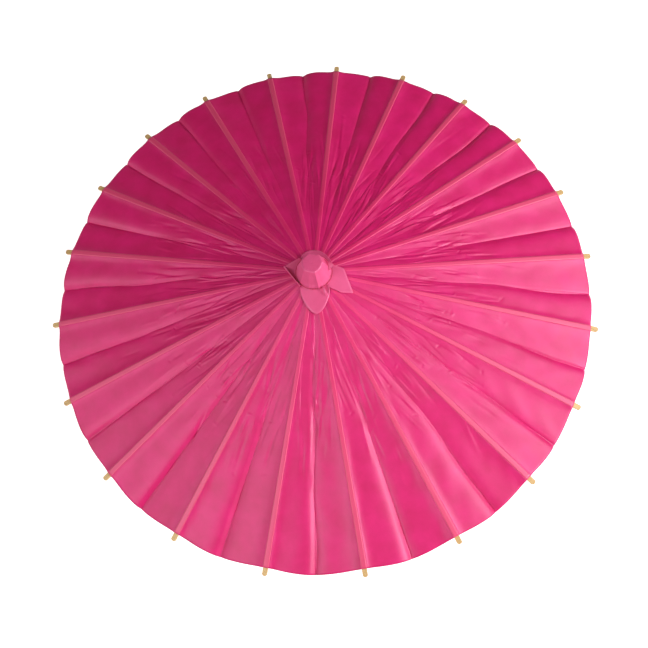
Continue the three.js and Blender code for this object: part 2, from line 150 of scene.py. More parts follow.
def laid_string(name, dark, pale, twist):
    """Twisted cotton round the shaft; `twist` is the length of one turn of its strands."""
    made = new_material(name)
    place = node(made, "ShaderNodeTexCoord").outputs["Object"]
    xyz = node(made, "ShaderNodeSeparateXYZ", {"Vector": place})
    turn = node(made, "ShaderNodeMath", {0: xyz.outputs["Y"], 1: xyz.outputs["X"]}, operation="ARCTAN2")
    span = node(made, "ShaderNodeVectorMath", {0: place, 1: (1, 1, 0)}, operation="MULTIPLY")
    radius = node(made, "ShaderNodeVectorMath", {0: span.outputs["Vector"]}, operation="LENGTH")
    along = node(made, "ShaderNodeMath", {
        0: turn.outputs["Value"], 1: radius.outputs["Value"]}, operation="MULTIPLY")
    slant = node(made, "ShaderNodeMath", {
        0: xyz.outputs["Z"], 1: 1.4, 2: along.outputs["Value"]}, operation="MULTIPLY_ADD")
    phase = node(made, "ShaderNodeMath", {0: slant.outputs["Value"], 1: 2 * pi / twist},
                 operation="MULTIPLY")
    strand = node(made, "ShaderNodeMath", {0: phase.outputs["Value"]}, operation="SINE")
    height = node(made, "ShaderNodeMapRange", {"Value": strand.outputs["Value"], "From Min": -1})
    fuzz = node(made, "ShaderNodeTexNoise", {"Vector": place, "Scale": 3500, "Detail": 3})
    mixed = node(made, "ShaderNodeMath", {
        0: fuzz.outputs["Fac"], 1: 0.4, 2: height.outputs["Result"]}, operation="MULTIPLY_ADD")
    bump = node(made, "ShaderNodeBump", {
        "Height": mixed.outputs["Value"], "Strength": 0.9, "Distance": 0.2 * MM})
    skin = node(made, "ShaderNodeBsdfPrincipled", {
        "Base Color": ramp_of(made, mixed.outputs["Value"], (0.1, dark), (0.9, pale)),
        "Roughness": 0.9, "Sheen Weight": 0.3, "Normal": bump.outputs["Normal"]})
    node(made, "ShaderNodeOutputMaterial", {"Surface": skin.outputs["BSDF"]})
    return made


# Waxed cotton string: natural, matt, with the lay of its strands showing. One turn is 1.6 mm.
cotton_string = laid_string("waxed_cotton_string", "#9c8a68", "#eadfc6", 1.6 * MM)
finish("hub_string", cotton_string)


# --- Ribs -----------------------------------------------------------------------------------
# Each rib is split from one cane, planed to a taper and slotted for its stretcher. The outer
# skin of the cane is its upper face, so long fibres run its whole length.
RIB_COUNT = 21


def split_bamboo(name, deep, pale, node_spacing):
    """Bamboo whose fibres run out from the shaft, with the cane's faint nodes across them."""
    made = new_material(name)
    place = node(made, "ShaderNodeTexCoord").outputs["Object"]
    xyz = node(made, "ShaderNodeSeparateXYZ", {"Vector": place})
    turn = node(made, "ShaderNodeMath", {0: xyz.outputs["Y"], 1: xyz.outputs["X"]}, operation="ARCTAN2")
    span = node(made, "ShaderNodeVectorMath", {0: place, 1: (1, 1, 0)}, operation="MULTIPLY")
    radius = node(made, "ShaderNodeVectorMath", {0: span.outputs["Vector"]}, operation="LENGTH")
    # 0.25 m stands for the distance from the shaft, so that the fibres spread with the rib.
    across = node(made, "ShaderNodeMath", {0: turn.outputs["Value"], 1: 0.25}, operation="MULTIPLY")
    along = node(made, "ShaderNodeMath", {0: radius.outputs["Value"], 1: 0.02}, operation="MULTIPLY")
    way = node(made, "ShaderNodeCombineXYZ", {
        "X": across.outputs["Value"], "Y": along.outputs["Value"], "Z": xyz.outputs["Z"]})
    # Fibre bundles are about 0.6 mm apart.
    fibres = node(made, "ShaderNodeTexNoise", {
        "Vector": way.outputs["Vector"], "Scale": 1 / (0.6 * MM), "Detail": 4, "Roughness": 0.6})
    shade = node(made, "ShaderNodeTexNoise", {"Vector": place, "Scale": 18, "Detail": 2})
    mixed = node(made, "ShaderNodeMath", {
        0: shade.outputs["Fac"], 1: 0.5, 2: fibres.outputs["Fac"]}, operation="MULTIPLY_ADD")
    straw = ramp_of(made, mixed.outputs["Value"], (0.5, deep), (0.95, pale))
    shift = node(made, "ShaderNodeMath", {
        0: turn.outputs["Value"], 1: 0.9, 2: radius.outputs["Value"]}, operation="MULTIPLY_ADD")
    ring = node(made, "ShaderNodeMath", {0: shift.outputs["Value"], 1: node_spacing},
                operation="PINGPONG")
    # The node's scar is a band about 1.5 mm wide.
    scar = node(made, "ShaderNodeMapRange", {
        "Value": ring.outputs["Value"], "From Min": 0, "From Max": 1.5 * MM,
        "To Min": 0.55, "To Max": 0})
    colour = node(made, "ShaderNodeMix", {
        "Factor": scar.outputs["Result"], "A": straw, "B": linear("#7d5a2e")}, data_type="RGBA")
    bump = node(made, "ShaderNodeBump", {
        "Height": fibres.outputs["Fac"], "Strength": 0.35, "Distance": 0.15 * MM})
    gloss = node(made, "ShaderNodeMapRange", {
        "Value": fibres.outputs["Fac"], "From Min": 0.3, "From Max": 0.7,
        "To Min": 0.62, "To Max": 0.46})
    skin = node(made, "ShaderNodeBsdfPrincipled", {
        "Base Color": colour.outputs["Result"], "Roughness": gloss.outputs["Result"],
        "Normal": bump.outputs["Normal"]})
    node(made, "ShaderNodeOutputMaterial", {"Surface": skin.outputs["BSDF"]})
    return made


# Dry split bamboo: straw yellow, satin on the skin side, a joint of the cane every 120 mm or so.
rib_bamboo = split_bamboo("split_bamboo_rib", "#b98b4e", "#e0bf86", 120 * MM)
for number in range(RIB_COUNT):
    finish(f"rib_{number + 1:02d}", rib_bamboo)


# --- Stretchers -----------------------------------------------------------------------------
# Shorter struts of the same bamboo, planed narrow at both ends. One end hangs on the runner's
# string, and the other sits in its rib's slot.
# Inner wood of the cane: a little browner and plainer than the skin side.
strut_bamboo = split_bamboo("split_bamboo_stretcher", "#a97c44", "#d2ac72", 90 * MM)
for number in range(RIB_COUNT):
    finish(f"stretcher_{number + 1:02d}", strut_bamboo)


# --- Joint threads --------------------------------------------------------------------------
# A short doubled thread goes through each rib and its stretcher and ends in a flat knot on
# both of the rib's sides, which is all that holds the joint.
hinges = {joint["name"]: joint for joint in frame["joints"]}


def rib_hinge(number):
    """The joint that a rib turns on; the first rib leads the fold."""
    return hinges["canopy_fold" if number == 0 else f"rib_{number + 1:02d}_hinge"]


def azimuth(number):
    """Direction of a rib about the shaft, counted past a full turn for ribs past the last."""
    turns, rib = divmod(number, RIB_COUNT)
    place = rib_hinge(rib)["pos_m"]
    angle = atan2(place[1], place[0])
    if rib > 0 and angle < azimuth(0):
        angle += 2 * pi
    return angle + 2 * pi * turns


first_hinge = rib_hinge(0)["pos_m"]
first_elbow = hinges["stretcher_01_hinge"]["pos_m"]
PIVOT_RADIUS = hypot(first_hinge[0], first_hinge[1])
PIVOT_HEIGHT = first_hinge[2]
DROOP = atan2(PIVOT_HEIGHT - first_elbow[2], hypot(first_elbow[0], first_elbow[1]) - PIVOT_RADIUS)
JOINT_DISTANCE = (hypot(first_elbow[0], first_elbow[1]) - PIVOT_RADIUS) / cos(DROOP)
THREAD_RADIUS = 0.45 * MM
THREAD_SPAN = 6.1 * MM
KNOT_RADIUS = 1.0 * MM
KNOT_HEIGHT = 0.35 * MM


def rib_frame(number):
    """The matrix that takes a rib's own (along, across, up) to its place in the open canopy."""
    turn = Matrix.Rotation(azimuth(number), 4, "Z")
    return turn @ Matrix.Translation((PIVOT_RADIUS, 0, PIVOT_HEIGHT)) @ Matrix.Rotation(DROOP, 4, "Y")


def piece_of(name, bm, smooth=True):
    """Makes a scene object of a bmesh, with its faces pointing out."""
    mesh = bpy.data.meshes.new(name)
    bm.to_mesh(mesh)
    bm.free()
    if smooth:
        mesh.shade_smooth()
    made = bpy.data.objects.new(name, mesh)
    bpy.context.scene.collection.objects.link(made)
    return made


def thread_in_joint(number):
    bm = bmesh.new()
    place = rib_frame(number) @ Matrix.Translation((JOINT_DISTANCE, 0, 0))
    place = place @ Matrix.Rotation(pi / 2, 4, "X")
    bmesh.ops.create_cone(bm, cap_ends=True, segments=10, radius1=THREAD_RADIUS, radius2=THREAD_RADIUS,
                          depth=THREAD_SPAN)
    for side in (-1, 1):
        knot = bmesh.ops.create_uvsphere(bm, u_segments=12, v_segments=8, radius=KNOT_RADIUS)["verts"]
        bmesh.ops.scale(bm, verts=knot, vec=(1, 0.8, KNOT_HEIGHT / KNOT_RADIUS))
        bmesh.ops.translate(bm, verts=knot, vec=(0, 0, side * THREAD_SPAN / 2))
    bmesh.ops.transform(bm, matrix=place, verts=bm.verts[:])
    return piece_of(f"joint_thread_{number + 1:02d}", bm)


# Dyed sewing thread: deep crimson-pink cotton with a slight fuzz. One turn of its strands is 0.9 mm. On
# the cap's tie this dark crimson is partly painted shade, standing in for the shadow line at the wrap's
# foot.
pink_thread = laid_string("dyed_thread_and_painted_shade", "#b00c44", "#dc2864", 0.9 * MM)
for number in range(RIB_COUNT):
    thread = thread_in_joint(number)
    thread.data.materials.append(pink_thread)
    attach(thread, f"rib_{number + 1:02d}")


# --- Runner, catch and pins -----------------------------------------------------------------
# The runner is turned and slotted from the same wood as the head. A springy bamboo tongue in
# the shaft holds it up, and a steel pin stops it from going higher.
finish("runner", head_wood)
finish("runner_string", cotton_string)
finish("catch_tongue", peg_cane)


def drawn_steel(name):
    """Bright drawn wire: fine draw lines round it and a slightly uneven polish."""
    made = new_material(name)
    place = node(made, "ShaderNodeTexCoord").outputs["Object"]
    scratches = node(made, "ShaderNodeTexNoise", {"Vector": place, "Scale": 2200, "Detail": 4})
    gloss = node(made, "ShaderNodeMapRange", {
        "Value": scratches.outputs["Fac"], "From Min": 0.3, "From Max": 0.7,
        "To Min": 0.24, "To Max": 0.4})
    bump = node(made, "ShaderNodeBump", {
        "Height": scratches.outputs["Fac"], "Strength": 0.15, "Distance": 0.05 * MM})
    skin = node(made, "ShaderNodeBsdfPrincipled", {
        "Base Color": linear("#b9b7b2"), "Metallic": 1, "Roughness": gloss.outputs["Result"],
        "Normal": bump.outputs["Normal"]})
    node(made, "ShaderNodeOutputMaterial", {"Surface": skin.outputs["BSDF"]})
    return made


# Drawn steel wire: grey, bright, finely scratched.
pin_steel = drawn_steel("drawn_steel_wire")
finish("stop_pin", pin_steel)
finish("catch_pin", pin_steel)


# --- Canopy paper, pasted strips ------------------------------------------------------------
# One round of mulberry paper, dyed hot pink and brushed with tung oil. It is pasted flat along
# the top of each rib, so a strip as wide as the rib lies there and the bamboo shows through.
PAPER_EDGE = 351 * MM  # from the shaft's axis, over a rib
PAPER_EYE = 22 * MM  # the round's eye, just under the foot of the cap's wrap
PAPER_LIFT = 2.4 * MM  # middle of the paper above the line of its rib's pivots
PAPER_THICK = 0.25 * MM
STRIP_HALF_EYE = 2.5 * MM
STRIP_HALF_EDGE = 3.75 * MM
STRIP_CROWN = 0.12 * MM  # the strip is a little rounded, and its margins turn down
STRIP_TURN = 0.5 * MM


def paper_height(radius):
    """Height of the paper over a rib."""
    return PIVOT_HEIGHT + PAPER_LIFT / cos(DROOP) - (radius - PIVOT_RADIUS) * tan(DROOP)


def strip_half(radius):
    share = (radius - PAPER_EYE) / (PAPER_EDGE - PAPER_EYE)
    return STRIP_HALF_EYE + (STRIP_HALF_EDGE - STRIP_HALF_EYE) * share


def strip_drop(radius, side):
    """How far the strip lies below its crown, from -1 to 1 across it."""
    margin = np.clip(np.abs(side) / 0.3 - 0.7 / 0.3, 0, 1)
    turn_down = STRIP_TURN * np.clip(radius / (140 * MM), 0.15, 1)
    return STRIP_CROWN * side ** 2 + turn_down * margin ** 2


def about_shaft(points, angle):
    """Rows of points turned about the shaft."""
    c, s = np.cos(angle), np.sin(angle)
    x, y, z = points[..., 0], points[..., 1], points[..., 2]
    return np.stack([x * c - y * s, x * s + y * c, z], axis=-1)


def sheet_grid(bm, along, across, place):
    """Adds a sheet to a bmesh: place(a, b) takes arrays from 0 to 1 and gives its points."""
    uv_layer = bm.loops.layers.uv.verify()
    made = bmesh.ops.create_grid(bm, x_segments=along, y_segments=across, size=0.5)["verts"]
    flat = np.array([v.co for v in made]) + 0.5
    for face in {f for v in made for f in v.link_faces}:
        for loop in face.loops:
            loop[uv_layer].uv = (loop.vert.co.x + 0.5, loop.vert.co.y + 0.5)
    for vertex, point in zip(made, place(flat[:, 0], flat[:, 1])):
        vertex.co = point


def thicken(bm, thickness):
    """Gives an open sheet its thickness, half on each side, upper side first."""
    bm.normal_update()
    if sum(f.normal.z * f.calc_area() for f in bm.faces) < 0:
        bmesh.ops.reverse_faces(bm, faces=bm.faces[:])
        bm.normal_update()
    for vertex in bm.verts:
        vertex.co += vertex.normal * thickness / 2
    bmesh.ops.solidify(bm, geom=bm.faces[:], thickness=thickness)
    bmesh.ops.recalc_face_normals(bm, faces=bm.faces[:])


def oiled_paper(name, deep, bright, rough, glow, over_cane=None):
    """Oiled mulberry paper: long fibres, cloudy dye and a satin skin that light comes through."""
    made = new_material(name)
    place = node(made, "ShaderNodeTexCoord").outputs["Object"]
    # Clouds of dye about 30 mm across, and mulberry fibres about 2 mm apart.
    clouds = node(made, "ShaderNodeTexNoise", {
        "Vector": place, "Scale": 1 / (30 * MM), "Detail": 4, "Roughness": 0.6})
    fibres = node(made, "ShaderNodeTexNoise", {
        "Vector": place, "Scale": 1 / (2 * MM), "Detail": 6, "Roughness": 0.75, "Distortion": 1.5})
    mottle = node(made, "ShaderNodeMath", {
        0: fibres.outputs["Fac"], 1: 0.35, 2: clouds.outputs["Fac"]}, operation="MULTIPLY_ADD")
    dye = ramp_of(made, mottle.outputs["Value"], (0.45, deep), (0.9, bright))
    if over_cane:
        # Outward along the strip the cane is wide enough to pale the paper pasted on it.
        along = node(made, "ShaderNodeSeparateXYZ", {
            "Vector": node(made, "ShaderNodeTexCoord").outputs["UV"]}).outputs["X"]
        paled = node(made, "ShaderNodeMapRange", {"Value": along, "From Min": 0.2, "From Max": 0.65})
        dye = node(made, "ShaderNodeMix", {
            0: paled.outputs["Result"], 6: dye, 7: linear(over_cane)}, data_type="RGBA").outputs[2]
    gloss = node(made, "ShaderNodeMapRange", {
        "Value": fibres.outputs["Fac"], "From Min": 0.3, "From Max": 0.7,
        "To Min": rough - 0.05, "To Max": rough + 0.05})
    bump = node(made, "ShaderNodeBump", {
        "Height": fibres.outputs["Fac"], "Strength": 0.2, "Distance": 0.2 * MM})
    skin = node(made, "ShaderNodeBsdfPrincipled", {
        "Base Color": dye, "Roughness": gloss.outputs["Result"], "Normal": bump.outputs["Normal"],
        "Specular IOR Level": 0.95, "Specular Tint": linear("#ffe8ff")})
    through = node(made, "ShaderNodeBsdfTranslucent", {"Color": dye})
    both = node(made, "ShaderNodeMixShader", {
        "Fac": glow, 1: skin.outputs["BSDF"], 2: through.outputs["BSDF"]})
    node(made, "ShaderNodeOutputMaterial", {"Surface": both.outputs["Shader"]})
    return made


# The paper over bamboo: satin, and turned a little towards salmon by the pale cane behind it.
strip_paper = oiled_paper("oiled_paper_pasted_on_bamboo", "#dc1c62", "#ea2c72", 0.48, 0.05,
                          over_cane="#e44470")


def pasted_strip(number):
    def place(a, b):
        radius = PAPER_EYE + (PAPER_EDGE - PAPER_EYE) * a
        side = 2 * b - 1 + 0.12 * np.sin(2 * pi * (2 * b - 1))
        height = paper_height(radius) - strip_drop(radius, side)
        line = np.stack([radius, side * strip_half(radius), height], axis=-1)
        return about_shaft(line, azimuth(number))

    bm = bmesh.new()
    sheet_grid(bm, 110, 12, place)
    thicken(bm, PAPER_THICK)
    return piece_of(f"paper_strip_{number + 1:02d}", bm)


for number in range(RIB_COUNT):
    strip = pasted_strip(number)
    strip.data.materials.append(strip_paper)
    body = f"rib_{number + 1:02d}"
    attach(strip, body)
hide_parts("canopy_paper")


# --- Canopy paper, gores --------------------------------------------------------------------
# Between two ribs the same paper hangs in a soft valley with a fold down its middle, from
# years of closing. Halfway out, where the stretchers crush it when it is shut, it is crumpled.
FALL_SLOPE = radians(13.5)  # straight line from a strip's edge to the fold
# Shares of that fall: before the fold the paper runs level and curls down at the fold, after it
# the paper stays level and climbs in a wide curve to the next rib.
EDGE_SHARE, EDGE_BIAS = 0.34, 0.14
EDGE_WIDTH, EDGE_WIDTH_BIAS = 8 * MM, 4 * MM
FOLD_SHARE, FOLD_BIAS, FOLD_WIDTH = 0.48, 0.14, 7.5 * MM
RIM_BULGE = 1.3 * MM  # the rim was cut round before the paper was folded
ALONG_STEPS, ACROSS_STEPS = 210, 32
random = np.random.default_rng(21)


def half_gap(number):
    """Half the angle from a rib to the next one."""
    return (azimuth(number + 1) - azimuth(number)) / 2


def fold_line(radius, gap):
    """Distance, height and fall of the fold across from a strip's edge at this radius."""
    inward = tan(gap) * sin(DROOP) * tan(FALL_SLOPE)
    fall = (radius * tan(gap) - strip_half(radius)) / (1 + inward) * tan(FALL_SLOPE)
    return (radius - fall * sin(DROOP)) / cos(gap), paper_height(radius) - fall * cos(DROOP), fall


def crush_marks(gap):
    """Random creases of one gore: start, end, height and the widths of their two sides."""
    marks = []

    def crease(middle, offset, length, lean, height, near, far):
        dx, dy = length / 2 * cos(lean), length / 2 * sin(lean)
        marks.append((middle - dx, offset - dy, middle + dx, offset + dy, height, near, far))

    for _ in range(24):
        middle = float(np.clip(random.normal(158, 42), 62, 300)) * MM
        reach = middle * tan(gap)
        offset = random.uniform(-0.8, 0.8) * reach
        length = random.uniform(20, 76) * MM
        lean = random.normal(0, 0.1)
        height = random.choice([-1, 1]) * random.uniform(0.3, 0.85) * MM
        near, far = random.uniform(0.9, 1.5) * MM, random.uniform(3, 8) * MM
        crease(middle, offset, length, lean, height, near, far)
        if random.random() < 0.45:
            end = random.choice([-1, 1]) * length * 0.45
            hook = random.choice([-1, 1]) * random.uniform(0.8, 1.3)
            crease(middle + end * cos(lean), offset + end * sin(lean), random.uniform(5, 11) * MM, hook,
                   0.7 * height, 0.9 * MM, 2.6 * MM)
    return marks


def crushed(x, y, marks):
    """Height of the creases at places x along the gore and y across it."""
    total = np.zeros_like(x)
    for x0, y0, x1, y1, height, near, far in marks:
        dx, dy = x1 - x0, y1 - y0
        length = hypot(dx, dy)
        share = ((x - x0) * dx + (y - y0) * dy) / length ** 2
        off = ((x - x0) * -dy + (y - y0) * dx) / length
        ridge = np.clip(1 - np.abs(off) / np.where(off > 0, near, far), 0, 1)
        total += height * ridge * np.clip(1.25 - np.abs(2 * share - 1) * 1.25, 0, 1)
    return total


def soft_waves(x, y, phase):
    """Low undulations of the stretched paper."""
    wave = np.sin(x / (7 * MM) + phase[0] + 2.5 * np.sin(y / (11 * MM) + phase[1]))
    wave += 0.8 * np.sin(x / (19 * MM) + y / (6 * MM) + phase[2])
    return wave * 0.11 * MM * np.clip(x / (160 * MM), 0.2, 1)


def gore_form(gap, marks, phase):
    """The lift of a gore's paper off the straight line from strip to fold."""
    fork = random.uniform(0, 5) * MM if random.random() < 0.7 else 0
    fork_middle = random.uniform(115, 150) * MM
    fork_length = random.uniform(35, 60) * MM
    wander = random.uniform(-1.6, 1.6, 3) * MM

    def lift(x, y, reach, fall):
        parting = fork * np.clip(1 - np.abs(x - fork_middle) / fork_length, 0, 1)
        line = wander[0] * np.sin(x / (47 * MM) + phase[3])
        line += wander[1] * np.sin(x / (21 * MM) + phase[0])
        from_fold = np.maximum(np.abs(y - line * np.clip(reach / (20 * MM), 0, 1)), parting)
        from_edge = reach - np.abs(y)
        after = np.clip(y / (5 * MM), -1, 1)
        edge_width = np.minimum(EDGE_WIDTH + EDGE_WIDTH_BIAS * after, reach / 3)
        fold_width = np.minimum(FOLD_WIDTH, reach / 2.5)
        hold = np.clip(from_edge / (0.15 * reach), 0, 1)
        # Near the hub the paper is too narrow to break over the ribs, and the valley is soft.
        edge_share = (EDGE_SHARE + EDGE_BIAS * after) * np.clip((x - 50 * MM) / (110 * MM), 0, 1)
        fold_share = FOLD_SHARE - FOLD_BIAS * after
        rest = 1 - edge_share - fold_share
        form = edge_share * (1 - np.exp(-from_edge / edge_width))
        form += hold * (fold_share * np.exp(-from_fold / fold_width) + rest * (1 - from_fold / reach))
        straight = from_edge / reach
        loose = np.clip(from_edge / (4 * MM), 0, 1) * np.clip((x - 24 * MM) / (20 * MM), 0, 1)
        detail = crushed(x, y, marks) + soft_waves(x, y, phase)
        return fall * (straight - form) + detail * loose

    return lift


def half_gore(number, side, lift):
    """Half of the gore from rib `number` (side 1) or up to the next rib (side -1)."""
    gap = half_gap(number)
    rib = number if side > 0 else number + 1
    middle = azimuth(number) + gap
    outward = np.array((sin(DROOP) * cos(middle), sin(DROOP) * sin(middle), cos(DROOP)))

    def place(a, b):
        share = a + 0.07 * np.sin(2 * pi * a)
        t = b - 0.09 * np.sin(2 * pi * b)
        bulge = RIM_BULGE * np.sin(pi * t) * np.clip(12 * a - 11, 0, 1)
        radius = PAPER_EYE + (PAPER_EDGE - PAPER_EYE) * share + bulge
        low = paper_height(radius) - strip_drop(radius, 1)
        edge = about_shaft(np.stack([radius, side * strip_half(radius), low], axis=-1), azimuth(rib))
        distance, height, fall = fold_line(radius, gap)
        fold = about_shaft(np.stack([distance, 0 * distance, height], axis=-1), middle)
        reach = np.linalg.norm(fold - edge, axis=1)
        raised = lift(distance, side * (t - 1) * reach, reach, fall)
        return edge + (fold - edge) * t[:, None] + raised[:, None] * outward

    bm = bmesh.new()
    sheet_grid(bm, ALONG_STEPS, ACROSS_STEPS, place)
    thicken(bm, PAPER_THICK)
    return piece_of(f"paper_gore_{number + 1:02d}{'a' if side > 0 else 'b'}", bm)


# The free paper: satin and saturated, with light from below coming through it.
gore_paper = oiled_paper("oiled_mulberry_paper_pink", "#d80d65", "#e8197a", 0.48, 0.2)

for number in range(RIB_COUNT):
    gap = half_gap(number)
    lift = gore_form(gap, crush_marks(gap), random.uniform(0, 2 * pi, 4))
    for side in (1, -1):
        gore = half_gore(number, side, lift)
        gore.data.materials.append(gore_paper)
        rib = number if side > 0 else (number + 1) % RIB_COUNT
        body = f"rib_{rib + 1:02d}"
        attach(gore, body)
        place = rib_frame(rib)
        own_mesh(gore)


# --- Cap paper ------------------------------------------------------------------------------
# A square of the same paper, drawn down over the head and tied under its shoulder. Its middle
# lies flat on top, a few sharp folds run down the sides, and its four corners flare out.
CAP_THICK = 0.3 * MM
CAP_BASE_RADIUS, CAP_BASE_HEIGHT = 22.2 * MM, 492.7 * MM
CAP_WAIST_RADIUS, CAP_WAIST_HEIGHT = 21.3 * MM, 499 * MM
CAP_TOP_RADIUS, CAP_TOP_HEIGHT = 13 * MM, 525.1 * MM
CAP_CORNERS = [radians(a) for a in (-75, 4, 52, 108, 160, 222, 285)]  # folds down the sides
OVERLAP_STEP = 0.9 * MM  # the front fold lies over its neighbour
FLARE_ROOT = 25.4 * MM  # where a flared corner's edge starts and ends
PETAL_WAY, PETAL_REACH = radians(-87), 51 * MM  # the front corner is a rounded petal
PETAL_ROOT, PETAL_HALF_WIDTH, PETAL_POWER = 20 * MM, 18.5 * MM, 1.65
BACK_BULGE = 6.5 * MM  # the back is turned under, so its edge is round
BACK_SKEW, BACK_POWER = 0.6, 1.5  # towards its left end, and how narrow the bulge is
HEAD_FOOT_RADIUS, HEAD_TOP_RADIUS = 19.7 * MM, 11.4 * MM  # the wooden head inside the wrap
HEAD_FOOT_HEIGHT, HEAD_TOP_HEIGHT = 496 * MM, 524 * MM
WOOD_CLEARANCE = 0.7 * MM
FACET_RISE = 9 * MM  # height over which the tied round foot turns into facets
OVERLAP_FADE = radians(30)
GATHER_DEPTH = 0.16 * MM
CREASE_DEPTH = 0.3 * MM
CROWN_DOME = 0.5 * MM
WALL_ROWS, CROWN_ROWS, CAP_SIDES = 34, 12, 144
FLARE_FOOT = CAP_BASE_RADIUS - 0.5 * MM
FLARE_LIFT = 0.7 * MM  # a flared corner's middle, above the paper it lies on
ROLL_FROM = 0.87  # share of a flared corner's length, past which its edge rolls under
TWISTED_TUCK = {"start": (9.3, -19.2, 494.6), "run": (7, -11, -3), "arch": 3,
                "turn": radians(75), "half_width": 2.6, "taper": 0.55}  # millimetres
SIDE_TUCK = {"tip": (25.6, 2.4, 511), "from": radians(40), "turn": radians(50),
             "top": 515, "drop": 10}  # millimetres


def cap_radius(height):
    rows = (CAP_BASE_HEIGHT, CAP_WAIST_HEIGHT, CAP_TOP_HEIGHT)
    return np.interp(height, rows, (CAP_BASE_RADIUS, CAP_WAIST_RADIUS, CAP_TOP_RADIUS))


def cap_facet(angle):
    """How far the wrap lies inside its circle between two folds, as a share of the radius."""
    angle = (angle - CAP_CORNERS[0]) % (2 * pi) + CAP_CORNERS[0]
    for start, end in zip(CAP_CORNERS, CAP_CORNERS[1:]):
        if angle <= end:
            half = (end - start) / 2
            return 0.7 * (1 - cos(half) / cos(angle - start - half))
    return 0


def wrapped_head():
    """The wrap itself: a spun shell, pushed into facets, gathers and radial creases."""
    bm = bmesh.new()
    wall_heights = np.linspace(CAP_BASE_HEIGHT, CAP_TOP_HEIGHT - 0.5 * MM, WALL_ROWS)
    wall = [(cap_radius(z), z) for z in wall_heights]
    crown = [(CAP_TOP_RADIUS * share, CAP_TOP_HEIGHT) for share in np.linspace(0.955, 0, CROWN_ROWS)]
    line = [bm.verts.new((radius, 0, height)) for radius, height in wall + crown]
    edges = [bm.edges.new(pair) for pair in zip(line, line[1:])]
    bmesh.ops.spin(bm, geom=line + edges, axis=(0, 0, 1), cent=(0, 0, 0), angle=2 * pi,
                   steps=CAP_SIDES, use_merge=True)
    bmesh.ops.remove_doubles(bm, verts=bm.verts[:], dist=0.01 * MM)
    for vertex in bm.verts:
        x, y, z = vertex.co
        angle, radius = atan2(y, x), hypot(x, y)
        if radius < 0.1 * MM:
            continue
        down = (CAP_TOP_HEIGHT - z) / (CAP_TOP_HEIGHT - CAP_BASE_HEIGHT)
        # Tied round at the foot, faceted above it, and nowhere inside the wooden head.
        inside = cap_facet(angle) * np.clip((z - CAP_BASE_HEIGHT) / FACET_RISE, 0, 1)
        wood = np.interp(z, (HEAD_FOOT_HEIGHT, HEAD_TOP_HEIGHT), (HEAD_FOOT_RADIUS, HEAD_TOP_RADIUS))
        wood += WOOD_CLEARANCE
        past_fold = (angle - CAP_CORNERS[0]) % (2 * pi)
        step = OVERLAP_STEP * np.exp(-past_fold / OVERLAP_FADE) * min(1, 3 * down)
        gather = sin(23 * angle + 1.3) + sin(31 * angle + 4 * down) + 0.8 * sin(11 * angle + 2)
        gather *= GATHER_DEPTH * np.clip(1.8 * down - 0.9, 0.12, 1)
        creases = CREASE_DEPTH * (radius / CAP_TOP_RADIUS) * abs(((angle * 7 / pi + 0.3) % 1) - 0.5)
        pushed = radius * (1 - inside) + step + gather
        if down > 0.01:
            pushed = max(pushed, wood)
        vertex.co.x, vertex.co.y = x * pushed / radius, y * pushed / radius
        if down < 0.01:
            vertex.co.z += CROWN_DOME * (1 - (radius / CAP_TOP_RADIUS) ** 2) - creases
    return bm


def in_plan(directions, reaches):
    """Points seen from above, from directions in degrees and reaches from the shaft."""
    turns = np.radians(directions)
    return np.column_stack([reaches * np.cos(turns), reaches * np.sin(turns)])


def petal_edge():
    """The front corner's edge, a superellipse from its right side round the tip to its left."""
    turns = np.linspace(0.06, 0.94, 19) * pi
    across = np.sign(np.cos(turns)) * np.abs(np.cos(turns)) ** (2 / PETAL_POWER)
    out = PETAL_ROOT + (PETAL_REACH - PETAL_ROOT) * np.sin(turns) ** (2 / PETAL_POWER)
    points = np.column_stack([out, PETAL_HALF_WIDTH * across, 0 * out])
    return about_shaft(points, PETAL_WAY)[:, :2]


def round_edge(start, end):
    """The back corner's edge, bulging most near its left end."""
    shares = np.linspace(0.1, 0.9, 9)
    bulge = BACK_BULGE * np.sin(pi * shares ** BACK_SKEW) ** BACK_POWER
    return in_plan(start + (end - start) * shares, FLARE_ROOT + bulge)


def flared_corner(start, end, edge, tip_lift, curl, roll):
    """A corner of the sheet, flaring from an arc of the head's foot (in degrees) to its edge."""
    ends = in_plan((start, end), FLARE_ROOT)
    corners = np.vstack([ends[:1], edge, ends[1:]])
    lengths = np.cumsum([0, *np.linalg.norm(np.diff(corners, axis=0), axis=1)])

    def place(a, b):
        way = b * lengths[-1]
        outer = np.stack([np.interp(way, lengths, corners[:, i]) for i in (0, 1)], axis=-1)
        angle = radians(start) + radians(end - start) * b
        foot = FLARE_FOOT * np.stack([np.cos(angle), np.sin(angle)], axis=-1)
        plan = foot + (outer - foot) * a[:, None]
        radius = np.linalg.norm(plan, axis=1)
        lift = 0.5 * MM * (1 - a) + tip_lift * MM * a ** 1.6
        lift -= roll * MM * np.clip((a - ROLL_FROM) / (1 - ROLL_FROM), 0, 1) ** 1.5
        lift += curl * MM * a * (np.exp(-b / 0.13) + 0.5 * np.exp((b - 1) / 0.13))
        lift += 0.35 * MM * np.sin(9 * b + 2) * a + 0.3 * MM * np.abs(np.sin(4.5 * b)) * a
        return np.column_stack([plan, paper_height(radius) + FLARE_LIFT + lift])

    bm = bmesh.new()
    sheet_grid(bm, 26, 44, place)
    return bm


